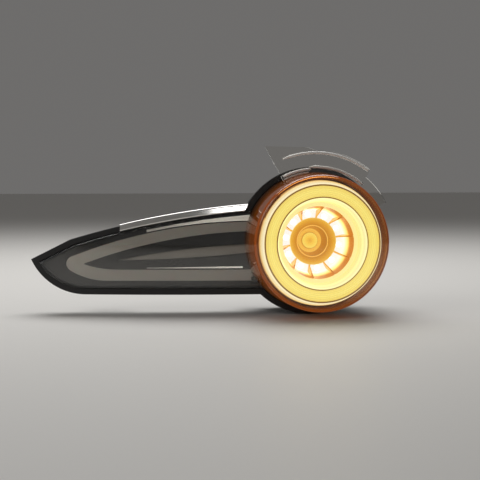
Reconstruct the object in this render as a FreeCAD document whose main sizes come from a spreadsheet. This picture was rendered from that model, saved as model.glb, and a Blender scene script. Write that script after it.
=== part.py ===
import FreeCAD
import Part
import Sketcher
import math
import os
import re

# Car lamp: a round lit unit with a tapered wing to its left. Millimetres.
# X runs to the right, the front faces -Y, Z is up. Y = 0 is the plane of the rear mounting faces
# and the Y axis is the axis of the round unit. A depth s in a formula is measured forwards, s = -Y.

SIZES = {
    # Outer form
    "housing_radius": 61,
    "wing_front": 60,
    "barrel_height": 38,
    "barrel_draft": 1,
    "edge_round": 4,
    "wing_edge_round": 1,
    "dome_rise": 5,
    "dome_flat_radius": 3,
    "sweep_radius": 730,
    "crown_radius": 160,
    "crown_drop": 7,
    # Wing outline, seen from the front
    "wing_reach": 229,
    "tip_drop": 15.4,
    "tip_run": 32,
    "shoulder_rise": 1.2,
    "wing_top_radius": 650,
    "root_reach": 20,
    "root_rise": 31,
    "wing_drop": 44,
    "toe_radius": 48,
    # Walls and joint of lens and housing
    "lens_wall": 2.2,
    "lens_inset": 5,
    "rim_lip": 2.2,
    "rim_setback": 5,
    "rim_thickness": 3,
    "fit_gap": 0.3,
    "ledge_width": 2,
    "housing_wall": 2.5,
    "ledge_setback": 15.5,
    "foot_setback": 17,
    "seal_thickness": 1.5,
    "tray_depth": 35,
    "tray_back_radius": 1041,
    "rear_setback": 4,
    "overlap": 1,
    # Clear flange over the barrel
    "flange_setback": 28,
    "flange_thickness": 2.5,
    "flange_height": 19.5,
    "flange_tail_height": 12.5,
    "ear_height": 3.1,
    "ear_slope_height": 0.6,
    "ear_start_width": 7.8,
    "ear_end_width": 41.9,
    "flange_rib": 2,
    "inner_rib_height": 7,
    "inner_rib_step": 1.6,
    "lower_rib_height": 2.4,
    "lower_rib": 1,
    "flange_tail_angle": 28,
    "flange_step_angle": 51,
    "flange_edge_angle": 52,
    "flange_root_angle": 118,
    "outer_rib_first_angle": 53,
    "outer_rib_last_angle": 112,
    "inner_rib_first_angle": 50,
    "inner_rib_step_angle": 95,
    "inner_rib_last_angle": 117,
    "rib_lap_angle": 1,
    # Light guide, bezels and trim of the wing
    "guide_setback": 5.5,
    "guide_depth": 8,
    "bezel_setback": 7,
    "bezel_skin": 2,
    "carrier_plate": 2,
    "nose_margin": 32,
    "nose_width": 10.6,
    "nose_top_drop": 13.3,
    "nose_bottom_drop": 24,
    "nose_radius": 6.5,
    "guide_margin_above": 15.2,
    "guide_margin_below": 11.7,
    "guide_top_radius": 380,
    "guide_toe_radius": 54,
    "arm_width": 9,
    "gap_top_radius": 400,
    "gap_toe_radius": 75,
    "gap_root_rise": 1,
    "guide_end_margin": 1.5,
    "blade_inset": 1,
    "blade_run": 29,
    "blade_lift": 3,
    "blade_margin": 9.4,
    "blade_height": 6.6,
    "blade_top_radius": 590,
    "blade_bottom_radius": 1100,
    "garnish_thickness": 3,
    "garnish_overhang": 1.5,
    "garnish_start": 157,
    "garnish_round": 1.2,
    "accent_thickness": 1.5,
    "accent_margin": 0.9,
    "accent_start": 135,
    "accent_line": 1.6,
    "accent_tip": 0.4,
    "accent_end_margin": 7,
    # Optics of the round unit
    "carrier_gap": 1,
    "carrier_wall": 2,
    "carrier_foot": 8.5,
    "shelf_drop": 6,
    "ring_setback": 2,
    "ring_skirt": 10,
    "ring_flare": 2.6,
    "ring_width": 11.6,
    "ring_lean": 3.4,
    "ring_skin": 1.8,
    "ring_edge": 0.7,
    "ring_line_width": 0.6,
    "ring_line_depth": 0.8,
    "ring_groove_depth": 0.25,
    "ring_guide_radius": 3.2,
    "feed_leg_radius": 2,
    "feed_margin": 0.6,
    "trough_skin": 1,
    "trough_drop": 2,
    "cell_skin": 1.5,
    "cell_step": 3.1,
    "cell_lean": 4,
    "cell_floor": 6.1,
    "cell_rib": 1,
    "cell_rib_gap": 0.4,
    "cell_rib_crest": 0.6,
    "cell_angle": 10,
    "led_window": 2.6,
    "cone_throat": 6.9,
    "cone_core": 9.4,
    "cone_button": 12.7,
    "cone_depth": 12,
    "cone_skin": 1.3,
    "cone_edge": 1,
    "cone_dish": 1.6,
    "cone_lip": 0.6,
    "cone_lip_width": 0.7,
    "cone_seat": 0.6,
    "button_height": 1.5,
    "cone_clearance": 3,
    # Boards, heat sink and fasteners
    "led_room": 3.4,
    "led_side": 3.4,
    "led_height": 1.6,
    "board_thickness": 1.6,
    "sink_drop": 6,
    "sink_plate": 4,
    "sink_margin": 5.5,
    "fin_length": 18,
    "fin_thickness": 2,
    "fin_pitch": 8,
    "fin_gap": 2,
    "pad_depth": 9,
    "pad_tail": 4,
    "pad_margin": 4,
    "guide_board_tail": 5,
    "guide_board_nose": 4.5,
    "guide_board_margin": 1,
    "pillar_radius": 4.5,
    "pillar_inset": 3.7,
    "screw_radius": 1.75,
    "screw_head_radius": 3.3,
    "screw_head_height": 2.4,
    "screw_length": 14,
    "driver_width": 46,
    "driver_height": 38,
    "driver_setback": 12,
    "standoff_radius": 3,
    "coil_radius": 6,
    "coil_height": 6,
    "capacitor_radius": 4,
    "capacitor_height": 7,
    "regulator_width": 10,
    "regulator_depth": 8,
    "regulator_thickness": 2.2,
    "coil_offset": 11.5,
    "coil_lift": 7.6,
    "regulator_drop": 9.5,
    # Rear side
    "stud_radius": 3,
    "stud_collar_radius": 3.8,
    "stud_margin": 9.5,
    "stud_length": 18,
    "stud_boss_radius": 9,
    "stud_boss_height": 12,
    "stud_head_width": 10,
    "stud_head_height": 4,
    "locator_reach": 165,
    "locator_drop": 15,
    "locator_radius": 4,
    "locator_length": 14,
    "locator_boss_radius": 7,
    "socket_width": 26,
    "socket_height": 17,
    "socket_wall": 1.8,
    "socket_length": 14,
    "socket_floor": 2,
    "socket_flange": 2.5,
    "socket_flange_width": 2,
    "pin_width": 2.2,
    "pin_thickness": 0.8,
    "pin_pitch": 5,
    "pin_reach": 8,
    "gasket_margin": 3,
    "gasket_width": 6,
    "vent_radius": 4.5,
    "vent_bore": 2.5,
    "vent_length": 7,
    "vent_margin": 12.5,
    "vent_cap_gap": 1,
    "vent_skin": 1.6,
    "rib_thickness": 2,
    "tray_rib_start": 87,
    "tray_rib_pitch": 27.5,
    "tray_rib_depth": 5,
}

# Counts, and angles in degrees seen from the front
CELL_COUNT = 10
GROOVE_COUNT = 6
FIN_COUNT = 7
PIN_COUNT = 4
TRAY_RIB_COUNT = 3
STUD_ANGLES = (90, 210, 330)
PILLAR_ANGLES = (30, 150, 270)
FEED_ANGLES = (0, 180)
BUCKET_RIB_ANGLES = (-100, -70, -40, -10, 20, 50, 110)
VENT_ANGLE = 60

# Depths and radii that several pieces share
LENS_FRONT = "(wing_front + barrel_height)"
BARREL_BASE = "(housing_radius - lens_inset)"
BARREL_FRONT = "(housing_radius - lens_inset - barrel_draft)"
INNER_INSET = "(lens_inset + lens_wall + fit_gap)"
LEDGE_INSET = "(lens_inset + lens_wall + fit_gap + ledge_width)"
TRAY_INSET = "(lens_inset + lens_wall + fit_gap + ledge_width - housing_wall)"
CHANNEL_END = "(foot_setback + seal_thickness)"
BUCKET_INNER = f"(housing_radius - {LEDGE_INSET})"
REAR_INSIDE = "(rear_setback + housing_wall)"
CARRIER = f"({BUCKET_INNER} - carrier_gap)"
GUIDE_END = f"({BUCKET_INNER} - guide_end_margin)"
SINK_TOP = "(wing_front - sink_drop)"
SINK_BACK = f"({SINK_TOP} - sink_plate)"
BOARD_TOP = f"({SINK_TOP} + board_thickness)"
FLOOR_BACK = f"({BOARD_TOP} + led_room)"
FLOOR_TOP = f"({FLOOR_BACK} + cell_skin)"
RING_FACE = f"({LENS_FRONT} - ring_setback)"
CARRIER_TOP = f"({RING_FACE} - ring_skirt)"
SHELF_TOP = f"({CARRIER_TOP} - shelf_drop)"
RIM_TOP = f"({SHELF_TOP} + cell_skin)"
RING_FOOT = f"({CARRIER} - fit_gap)"
RING_OUTER = f"({RING_FOOT} - ring_flare)"
RING_INNER = f"({RING_OUTER} - ring_width)"
SKIRT_FOOT = f"({RING_INNER} - ring_lean)"
BOWL = f"({SKIRT_FOOT} - cell_step)"
BOWL_FLOOR = f"({BOWL} - cell_lean)"
HUB = f"({BOWL_FLOOR} - cell_floor)"
LED_CIRCLE = f"(({HUB} + {BOWL_FLOOR}) / 2)"
SHELF_INNER = f"({BOWL} + cell_skin + fit_gap)"
TROUGH_INNER = f"({SKIRT_FOOT} + 2 * ring_skin)"
TROUGH_OUTER = f"({CARRIER} - carrier_wall - fit_gap)"
RING_GUIDE = f"(({TROUGH_INNER} + {TROUGH_OUTER}) / 2)"
FOOT_INNER = f"({CARRIER} - carrier_foot)"
BOARD_RADIUS = f"({FOOT_INNER} - fit_gap)"
FEED_CIRCLE = f"({BOARD_RADIUS} - led_side / 2 - feed_margin)"
PILLAR_CIRCLE = f"({BOARD_RADIUS} - pillar_inset)"
FIN_RADIUS = f"({PILLAR_CIRCLE} - pillar_radius - fin_gap)"
SINK_RADIUS = f"({CARRIER} - sink_margin)"
SINK_BORE = f"({HUB} - cone_throat + cone_skin + fit_gap)"
STUD_CIRCLE = f"({BUCKET_INNER} - stud_margin)"
VENT_CIRCLE = f"({BUCKET_INNER} - vent_margin)"
GASKET_OUTER = f"({STUD_CIRCLE} - stud_boss_radius - gasket_margin)"
GUIDE_BACK = "(guide_setback + guide_depth)"
NOSE = "(wing_reach - nose_margin)"
GUIDE_RISE = "(root_rise - guide_margin_above)"
GUIDE_DROP = "(wing_drop - guide_margin_below)"
APEX = f"({NOSE} - nose_width)"
APEX_DROP = "((nose_top_drop + nose_bottom_drop) / 2)"
GAP_RISE = f"({GUIDE_RISE} - arm_width)"
GAP_DROP = f"({GUIDE_DROP} - arm_width)"
BLADE_TIP = f"({APEX} - blade_run)"
BLADE_TOP = f"({GAP_RISE} - blade_margin)"
TRAY_BACK = "(wing_front - tray_depth)"
LED_FACE = f"({GUIDE_END} - fit_gap)"
GUIDE_BOARD_FACE = f"({LED_FACE} - led_height)"
GUIDE_BOARD_BACK = f"({GUIDE_BOARD_FACE} - board_thickness)"
GUIDE_MID = f"(wing_front - guide_setback - guide_depth / 2 - {GUIDE_END} ^ 2 / sweep_radius / 2)"

doc = FreeCAD.newDocument("car_lamp")
sheet = doc.addObject("Spreadsheet::Sheet", "sheet")
for row, (alias, value) in enumerate(SIZES.items(), start=1):
    sheet.set(f"A{row}", alias)
    sheet.set(f"B{row}", str(value))
    sheet.setAlias(f"B{row}", alias)
doc.recompute()

WORD = re.compile(r"[a-z][a-z_]*")
Vector = FreeCAD.Vector
FACING_FRONT = FreeCAD.Rotation(Vector(1, 0, 0), 90)
nodes = []


def cells(formula):
    """The formula with the name of each size pointed at its cell of the sheet."""
    return WORD.sub(lambda word: ("sheet." if word.group() in SIZES else "") + word.group(), str(formula))


def number(formula):
    """The present value of a formula."""
    return float(sheet.evalExpression(cells(formula)))


def bind(item, **formulas):
    """Ties properties of an object to formulas; x, y and z are its position."""
    for name, formula in formulas.items():
        path = f"Placement.Base.{name}" if name in ("x", "y", "z") else name
        item.setExpression(path, cells(formula))
    return item


def node(label, item):
    """Keeps an object as one piece of the lamp, under its own name."""
    item.Label = label
    nodes.append(item)
    return item


def add(kind, name):
    return doc.addObject(kind, name)


def polar(circle, degrees):
    """Formulas for X and Z of a point on a circle round the axis of the round unit."""
    return f"{circle} * cos({degrees})", f"{circle} * sin({degrees})"


def outline(sketch, corners):
    """Draws a closed outline in a sketch. Each corner is (x, y), reached by a straight edge, or
    (x, y, radius), reached by an arc: counter-clockwise, or clockwise where a minus leads the radius."""
    points = [Vector(number(corner[0]), number(corner[1]), 0) for corner in corners]
    edges = []
    for index, corner in enumerate(corners):
        start, end = points[index - 1], points[index]
        if len(corner) == 2:
            edges.append((sketch.addGeometry(Part.LineSegment(start, end), False), 1, 2))
            continue
        clockwise = corner[2].startswith("-")
        radius = abs(number(corner[2]))
        half = (end - start) * 0.5
        side = Vector(-half.y, half.x, 0).normalize() * math.sqrt(radius ** 2 - half.Length ** 2)
        centre = start + half + (side * -1 if clockwise else side)
        first, last = (end, start) if clockwise else (start, end)
        angles = [math.atan2(point.y - centre.y, point.x - centre.x) for point in (first, last)]
        circle = Part.Circle(centre, Vector(0, 0, 1), radius)
        edge = sketch.addGeometry(Part.ArcOfCircle(circle, *angles), False)
        edges.append((edge, 2, 1) if clockwise else (edge, 1, 2))
        rule = sketch.addConstraint(Sketcher.Constraint("Radius", edge, radius))
        sketch.setExpression(f"Constraints[{rule}]", cells(corner[2].lstrip("-")))
    for index, corner in enumerate(corners):
        edge, _, tail = edges[index]
        following, head, _ = edges[(index + 1) % len(edges)]
        sketch.addConstraint(Sketcher.Constraint("Coincident", edge, tail, following, head))
        for kind, formula, value in (("DistanceX", corner[0], points[index].x),
                                     ("DistanceY", corner[1], points[index].y)):
            rule = sketch.addConstraint(Sketcher.Constraint(kind, -1, 1, edge, tail, value))
            sketch.setExpression(f"Constraints[{rule}]", cells(formula))
    return sketch


def front_sketch(name, corners):
    """A closed outline in the XZ plane, seen from the front."""
    sketch = add("Sketcher::SketchObject", name)
    sketch.Placement = FreeCAD.Placement(Vector(0, 0, 0), FACING_FRONT)
    return outline(sketch, corners)


def body_sketch(body, plane, name, corners):
    """A closed outline on one of a body's own origin planes."""
    sketch = body.newObject("Sketcher::SketchObject", name)
    support = next(item for item in body.Origin.OriginFeatures if item.Role == plane)
    sketch.AttachmentSupport = [(support, "")]
    sketch.MapMode = "FlatFace"
    return outline(sketch, corners)


def turned(name, corners):
    """A body turned about the axis of the round unit from corners (radius, s)."""
    body = add("PartDesign::Body", name)
    flipped = [(corner[0], f"-({corner[1]})") + tuple(corner[2:]) for corner in corners]
    sketch = body_sketch(body, "XY_Plane", name + "_profile", flipped)
    turn = body.newObject("PartDesign::Revolution", name + "_turn")
    turn.Profile = sketch
    turn.ReferenceAxis = (sketch, ["V_Axis"])
    turn.Angle = 360
    return body


def cylinder(name, radius, back, front, x="0", z="0"):
    """A cylinder along Y between two depths."""
    item = add("Part::Cylinder", name)
    item.Placement.Rotation = FACING_FRONT
    return bind(item, Radius=radius, Height=f"({front}) - ({back})", x=x, y=f"-({back})", z=z)


def box(name, x_from, x_to, back, front, z_from, z_to):
    """A box between two X, two depths and two Z."""
    item = add("Part::Box", name)
    bind(item, Length=f"({x_to}) - ({x_from})", Width=f"({front}) - ({back})")
    bind(item, Height=f"({z_to}) - ({z_from})")
    return bind(item, x=x_from, y=f"-({front})", z=z_from)


def fuse(name, *items):
    result = add("Part::MultiFuse", name)
    result.Shapes = list(items)
    result.Refine = True
    return result


def common(name, *items):
    result = add("Part::MultiCommon", name)
    result.Shapes = list(items)
    return result


def cut(name, base, *tools):
    result = add("Part::Cut", name)
    result.Base = base
    result.Tool = tools[0] if len(tools) == 1 else fuse(name + "_tools", *tools)
    result.Refine = True
    return result


def group(name, items):
    result = add("Part::Compound", name)
    result.Links = list(items)
    return result


def grown(name, source, distance):
    """An outline moved outwards by a distance, or inwards where it is negative."""
    item = add("Part::Offset2D", name)
    item.Source = source
    item.Join = 2
    return bind(item, Value=distance)


def prism(name, source):
    """An outline carried through the whole depth of the lamp."""
    item = add("Part::Extrusion", name)
    item.Base = source
    item.DirMode = "Custom"
    item.Dir = Vector(0, 1, 0)
    item.Solid = True
    return bind(item, LengthFwd="2 * wing_front", LengthRev="3 * wing_front")


def plate(name, source, back, front):
    """An outline between two depths."""
    item = add("Part::Extrusion", name)
    item.Base = source
    item.DirMode = "Custom"
    item.Dir = Vector(0, 1, 0)
    item.Solid = True
    return bind(item, LengthFwd=f"-({back})", LengthRev=front)


def swept(name, radius, front):
    """A tall upright cylinder whose front line stands at a depth on the axis."""
    item = add("Part::Cylinder", name)
    bind(item, Radius=radius, Height="8 * housing_radius")
    return bind(item, y=f"({radius}) - ({front})", z="-4 * housing_radius")


def setback(name, distance):
    """The swept surface of the wing, moved back by a distance."""
    return swept(name, f"sweep_radius - ({distance})", f"wing_front - ({distance})")


def crowned(name, distance):
    """The swept front of the lens, crowned from top to bottom, moved back by a distance."""
    item = add("Part::Torus", name)
    bind(item, Radius1="sweep_radius - crown_radius", Radius2=f"crown_radius - ({distance})")
    return bind(item, y="sweep_radius - wing_front", z="-crown_drop")


def rounded(name, base, radius, on_edge):
    """A solid with the edges rounded whose middle on_edge accepts."""
    doc.recompute()
    size = number(radius)
    chosen = [index for index, edge in enumerate(base.Shape.Edges, start=1) if on_edge(edge)]
    item = add("Part::Fillet", name)
    item.Base = base
    item.Edges = [(index, size, size) for index in chosen]
    return item


def layer(name, item, front, back):
    """The part of a prism between two setbacks from the front of the wing."""
    near = common(name + "_front", item, setback(name + "_near", front))
    return cut(name, near, setback(name + "_far", back))


# Outline of the wing, and the prism of wing and round unit together at each inset

TOE_RUN = "sqrt(toe_radius ^ 2 - (toe_radius - wing_drop + tip_drop) ^ 2)"
wing_outline = front_sketch("wing_outline", [
    ("-root_reach", "root_rise"),
    ("-(wing_reach - tip_run)", "shoulder_rise", "wing_top_radius"),
    ("-wing_reach", "-tip_drop"),
    (f"-(wing_reach - {TOE_RUN})", "-wing_drop", "toe_radius"),
    ("-root_reach", "-wing_drop"),
])


def wing_prism(name, inset):
    """The wing as a prism, at an inset from the rim of the housing."""
    return prism(name, wing_outline if inset == "0" else grown(name + "_line", wing_outline, f"-({inset})"))


def lamp_prism(name, inset):
    """Wing and round unit as one prism, at an inset from the rim of the housing."""
    disc = cylinder(name + "_disc", f"housing_radius - ({inset})", "-2 * wing_front", "3 * wing_front")
    return fuse(name, wing_prism(name + "_wing", inset), disc)


at_rim = lamp_prism("at_rim", "0")
at_lip = lamp_prism("at_lip", "rim_lip")
at_channel = lamp_prism("at_channel", "lens_inset - fit_gap")
at_lens = lamp_prism("at_lens", "lens_inset")
at_cavity = lamp_prism("at_cavity", "lens_inset + lens_wall")
at_inner = lamp_prism("at_inner", INNER_INSET)
at_ledge = lamp_prism("at_ledge", LEDGE_INSET)
at_tray = lamp_prism("at_tray", TRAY_INSET)
tray_rear = swept("tray_rear", "tray_back_radius", TRAY_BACK)
tray_floor = swept("tray_floor", "tray_back_radius + housing_wall", f"{TRAY_BACK} + housing_wall")

# Rear housing: rim, channel for the foot of the lens, tray of the wing and round bucket in one moulding

rim = layer("rim", at_rim, "rim_setback", "rim_setback + rim_thickness")
channel_wall = layer("channel_wall", at_lip, "rim_setback", f"{CHANNEL_END} + housing_wall")
tray = cut("tray", common("tray_block", at_tray, setback("tray_near", CHANNEL_END)), tray_rear)
bucket = cylinder("bucket", f"housing_radius - {TRAY_INSET}", "rear_setback", f"wing_front - {CHANNEL_END}")
shell_parts = [rim, channel_wall, tray, bucket]
hollow_parts = [
    layer("channel", cut("channel_ring", at_channel, at_inner), "-wing_front", CHANNEL_END),
    layer("front_hollow", at_inner, "-wing_front", "ledge_setback"),
    cut("tray_hollow", common("tray_hollow_block", at_ledge, setback("tray_hollow_near", "0")), tray_floor),
    cylinder("bucket_hollow", BUCKET_INNER, REAR_INSIDE, "wing_front"),
]

# Stiffening ribs round the bucket and across the back of the tray
RIB_ROOT = f"housing_radius - {TRAY_INSET} - overlap"
RIB_FRONT = f"-(wing_front - {CHANNEL_END} - housing_wall - overlap)"
for index, degrees in enumerate(BUCKET_RIB_ANGLES):
    rib = add("Sketcher::SketchObject", f"bucket_rib_line_{index}")
    rib.Placement.Rotation = FreeCAD.Rotation(Vector(0, 1, 0), -degrees)
    outline(rib, [
        (RIB_ROOT, RIB_FRONT),
        (RIB_ROOT, f"-{REAR_INSIDE}"),
        ("housing_radius - rim_lip - overlap", RIB_FRONT),
    ])
    rib_solid = add("Part::Extrusion", f"bucket_rib_{index}")
    rib_solid.Base = rib
    rib_solid.DirMode = "Normal"
    rib_solid.Symmetric = True
    rib_solid.Solid = True
    shell_parts.append(bind(rib_solid, LengthFwd="rib_thickness"))
for index in range(TRAY_RIB_COUNT):
    middle = f"-(tray_rib_start + {index} * tray_rib_pitch)"
    across = box(f"tray_rib_box_{index}", f"{middle} - rib_thickness / 2", f"{middle} + rib_thickness / 2",
                 "0", "wing_front", "-wing_drop", "root_rise")
    deeper = swept(f"tray_rib_rear_{index}", "tray_back_radius", f"{TRAY_BACK} - tray_rib_depth")
    near = setback(f"tray_rib_near_{index}", CHANNEL_END)
    inside = common(f"tray_rib_inside_{index}", across, at_tray, near)
    shell_parts.append(cut(f"tray_rib_{index}", inside, deeper))

# Bosses for the studs, pillars for the heat sink, standoffs for the driver board
stud_bosses = []
stud_holes = []
pillars = []
pillar_holes = []
standoffs = []
for index, degrees in enumerate(STUD_ANGLES):
    x, z = polar(STUD_CIRCLE, degrees)
    stud_bosses.append(cylinder(f"stud_boss_{index}", "stud_boss_radius", "0", "stud_boss_height", x, z))
    boss_end = "stud_boss_height + overlap"
    stud_holes.append(cylinder(f"stud_hole_{index}", "stud_collar_radius", "-overlap", boss_end, x, z))
for index, degrees in enumerate(PILLAR_ANGLES):
    x, z = polar(PILLAR_CIRCLE, degrees)
    pillars.append(cylinder(f"pillar_{index}", "pillar_radius", "rear_setback", SINK_BACK, x, z))
    pillar_holes.append(cylinder(f"pillar_hole_{index}", "screw_radius", f"{BOARD_TOP} - screw_length",
                                 f"{SINK_BACK} + overlap", x, z))
for index, (across, along) in enumerate(((-1, -1), (1, -1), (1, 1), (-1, 1))):
    standoffs.append(cylinder(f"standoff_{index}", "standoff_radius", "rear_setback", "driver_setback",
                              f"{across} * (driver_width / 2 - standoff_radius)",
                              f"{along} * (driver_height / 2 - standoff_radius)"))

# Locating pin behind the wing, vent pipe and hole for the socket
LOCATOR_TRAY = f"({TRAY_BACK} - locator_reach ^ 2 / tray_back_radius / 2)"
VENT_END = "(rear_setback - vent_length)"
locator_boss = cylinder("locator_boss", "locator_boss_radius", "0", f"{LOCATOR_TRAY} + overlap",
                        "-locator_reach", "-locator_drop")
locator = cylinder("locator", "locator_radius", "-locator_length", "overlap",
                   "-locator_reach", "-locator_drop")
vent_x, vent_z = polar(VENT_CIRCLE, VENT_ANGLE)
vent_pipe = cylinder("vent_pipe", "vent_radius", VENT_END, REAR_INSIDE, vent_x, vent_z)
vent_hole = cylinder("vent_hole", "vent_bore", f"{VENT_END} - overlap", f"{REAR_INSIDE} + overlap",
                     vent_x, vent_z)
socket_hole = box("socket_hole", "-socket_width / 2 - fit_gap", "socket_width / 2 + fit_gap",
                  "rear_setback - overlap", f"{REAR_INSIDE} + overlap",
                  "-socket_height / 2 - fit_gap", "socket_height / 2 + fit_gap")
hollowed = cut("housing_hollowed", fuse("housing_solid", *shell_parts), *hollow_parts)
bosses = stud_bosses + pillars + standoffs + [locator_boss, locator, vent_pipe]
holes = stud_holes + pillar_holes + [vent_hole, socket_hole]
node("rear_housing", cut("housing", fuse("housing_bossed", hollowed, *bosses), *holes))

# Outer lens: dome with a small flat in its middle, barrel, crowned wing cover with its foot, clear flange

DOME = f"((({BARREL_FRONT} - edge_round) ^ 2 + dome_rise ^ 2) / (2 * dome_rise))"
DOME_TOP = f"({LENS_FRONT} + dome_rise - {DOME} + sqrt({DOME} ^ 2 - dome_flat_radius ^ 2))"
barrel = turned("barrel", [
    ("0", "wing_front - foot_setback - rim_setback"),
    (BARREL_BASE, "wing_front - foot_setback - rim_setback"),
    (BARREL_BASE, "wing_front - rim_setback"),
    (BARREL_FRONT, f"{LENS_FRONT} - edge_round"),
    (f"{BARREL_FRONT} - edge_round", LENS_FRONT, "-edge_round"),
    ("dome_flat_radius", DOME_TOP, f"-{DOME}"),
    ("0", DOME_TOP),
])
barrel_hollow = turned("barrel_hollow", [
    ("0", "wing_front - foot_setback - 2 * rim_setback"),
    (f"{BARREL_BASE} - lens_wall", "wing_front - foot_setback - 2 * rim_setback"),
    (f"{BARREL_BASE} - lens_wall", "wing_front - rim_setback"),
    (f"{BARREL_FRONT} - lens_wall", f"{LENS_FRONT} - edge_round"),
    (f"{BARREL_FRONT} - edge_round", f"{LENS_FRONT} - lens_wall", "-(edge_round - lens_wall)"),
    ("dome_flat_radius", f"{DOME_TOP} - lens_wall", f"-{DOME}"),
    ("0", f"{DOME_TOP} - lens_wall"),
])
cover_blank = common("cover_blank", wing_prism("cover_wing", "lens_inset"), crowned("cover_face", "0"))


def along_cover(edge):
    """True for the edges where the crowned face of the wing cover meets its sides."""
    middle = edge.valueAt((edge.FirstParameter + edge.LastParameter) / 2)
    reach = math.hypot(middle.x, middle.y - number("sweep_radius - wing_front"))
    off_ring = math.hypot(reach - number("sweep_radius - crown_radius"), middle.z + number("crown_drop"))
    in_front = middle.y < number("foot_setback")
    outside = middle.x < -number("root_reach + overlap")
    return in_front and outside and abs(off_ring - number("crown_radius")) < number("fit_gap") / 10


wing_cover = rounded("wing_cover", cover_blank, "wing_edge_round", along_cover)
wing_hollow = common("wing_hollow", wing_prism("cover_hollow", "lens_inset + lens_wall"),
                     crowned("cover_inside", "lens_wall"))
lens_block = cut("lens_block", fuse("lens_solid", barrel, wing_cover), setback("lens_foot", "foot_setback"))


def sector(name, inner, outer, first, last):
    """An outline between two radii and two angles."""
    return front_sketch(name, [
        polar(outer, first),
        polar(outer, last) + (outer,),
        polar(inner, last),
        polar(inner, first) + (f"-{inner}",),
    ])


FLANGE_ROOT = f"({BARREL_FRONT} - lens_wall / 2)"
FLANGE_EDGE = f"({BARREL_FRONT} + flange_height)"
FLANGE_TAIL = f"({BARREL_FRONT} + flange_tail_height)"
FLANGE_FRONT = f"({LENS_FRONT} - flange_setback)"
INNER_RIB = f"({BARREL_FRONT} + inner_rib_height)"
STEPPED_RIB = f"({INNER_RIB} - inner_rib_step)"
LOWER_RIB = f"({BARREL_FRONT} + lower_rib_height)"
flange_line = front_sketch("flange_line", [
    polar(FLANGE_TAIL, "flange_tail_angle"),
    polar(FLANGE_TAIL, "flange_step_angle") + (FLANGE_TAIL,),
    polar(FLANGE_EDGE, "flange_edge_angle"),
    ("0", FLANGE_EDGE, FLANGE_EDGE),
    ("-ear_start_width", f"{FLANGE_EDGE} + ear_height - ear_slope_height"),
    ("-ear_end_width", f"{FLANGE_EDGE} + ear_height"),
    polar(FLANGE_ROOT, "flange_root_angle"),
    polar(FLANGE_ROOT, "flange_tail_angle") + (f"-{FLANGE_ROOT}",),
])
flange = plate("flange", flange_line, f"{FLANGE_FRONT} - flange_thickness", FLANGE_FRONT)
OUTER_RIB = f"({FLANGE_EDGE} - flange_rib / 2)"
STEP_START = "(inner_rib_step_angle - rib_lap_angle)"
LOWER_START = "(inner_rib_step_angle + rib_lap_angle)"
RIB_LINES = {
    "outer_rib": (OUTER_RIB, "flange_rib", "outer_rib_first_angle", "outer_rib_last_angle"),
    "inner_rib": (INNER_RIB, "flange_rib", "inner_rib_first_angle", "inner_rib_step_angle"),
    "stepped_rib": (STEPPED_RIB, "flange_rib", STEP_START, "inner_rib_last_angle"),
    "lower_rib": (LOWER_RIB, "lower_rib", LOWER_START, "inner_rib_last_angle"),
}
flange_ribs = []
for name, (outer, width, first, last) in RIB_LINES.items():
    rib_sector = sector(name + "_line", f"({outer} - {width})", outer, first, last)
    flange_ribs.append(plate(name, rib_sector, f"{FLANGE_FRONT} - overlap", f"{FLANGE_FRONT} + {width}"))
lens_shell = cut("lens_shell", lens_block, barrel_hollow, wing_hollow)
node("outer_lens", fuse("lens", lens_shell, flange, *flange_ribs))
seal_slab = layer("seal_slab", at_lens, "foot_setback", CHANNEL_END)
node("lens_seal", cut("seal", seal_slab, at_cavity))

# Light guide, blade and the bezels round them

guide_line = front_sketch("guide_line", [
    (f"-{GUIDE_END}", GUIDE_RISE),
    (f"-{NOSE}", "-nose_top_drop", "guide_top_radius"),
    (f"-{NOSE}", "-nose_bottom_drop", "nose_radius"),
    (f"-({NOSE} - sqrt(guide_toe_radius ^ 2 - (guide_toe_radius - {GUIDE_DROP} + nose_bottom_drop) ^ 2))",
     f"-{GUIDE_DROP}", "guide_toe_radius"),
    (f"-{GUIDE_END}", f"-{GUIDE_DROP}"),
])
gap_line = front_sketch("gap_line", [
    ("-root_reach", f"{GAP_RISE} + gap_root_rise"),
    (f"-{APEX}", f"-{APEX_DROP}", "gap_top_radius"),
    (f"-({APEX} - sqrt(gap_toe_radius ^ 2 - (gap_toe_radius - {GAP_DROP} + {APEX_DROP}) ^ 2))",
     f"-{GAP_DROP}", "gap_toe_radius"),
    ("-root_reach", f"-{GAP_DROP}"),
])
blade_line = front_sketch("blade_line", [
    (f"-{GUIDE_END}", BLADE_TOP),
    (f"-{BLADE_TIP}", f"-({APEX_DROP} - blade_lift)", "blade_top_radius"),
    (f"-{GUIDE_END}", f"{BLADE_TOP} - blade_height", "blade_bottom_radius"),
])
guide_arms = cut("guide_arms", prism("guide_block", guide_line), prism("guide_gap", gap_line))
node("light_guide", layer("guide", guide_arms, "guide_setback", GUIDE_BACK))
blade_block = prism("blade_block", blade_line)
node("blade_guide", layer("blade", blade_block, "bezel_setback + blade_inset", GUIDE_BACK))

root_disc = cylinder("root_disc", f"{BUCKET_INNER} + fit_gap", "-wing_front", "2 * wing_front")
root_box = box("root_box", f"-{GUIDE_END} - fit_gap", "housing_radius", "-wing_front", "2 * wing_front",
               "-2 * housing_radius", "2 * housing_radius")
root_zone = fuse("root_zone", root_disc, root_box)
wing_inner = prism("wing_inner", grown("wing_inner_line", wing_outline, f"-{INNER_INSET}"))
carrier_block = cut("guide_carrier_block", wing_inner, root_zone)
node("guide_carrier", layer("guide_plate", carrier_block, GUIDE_BACK, f"{GUIDE_BACK} + carrier_plate"))

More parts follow.
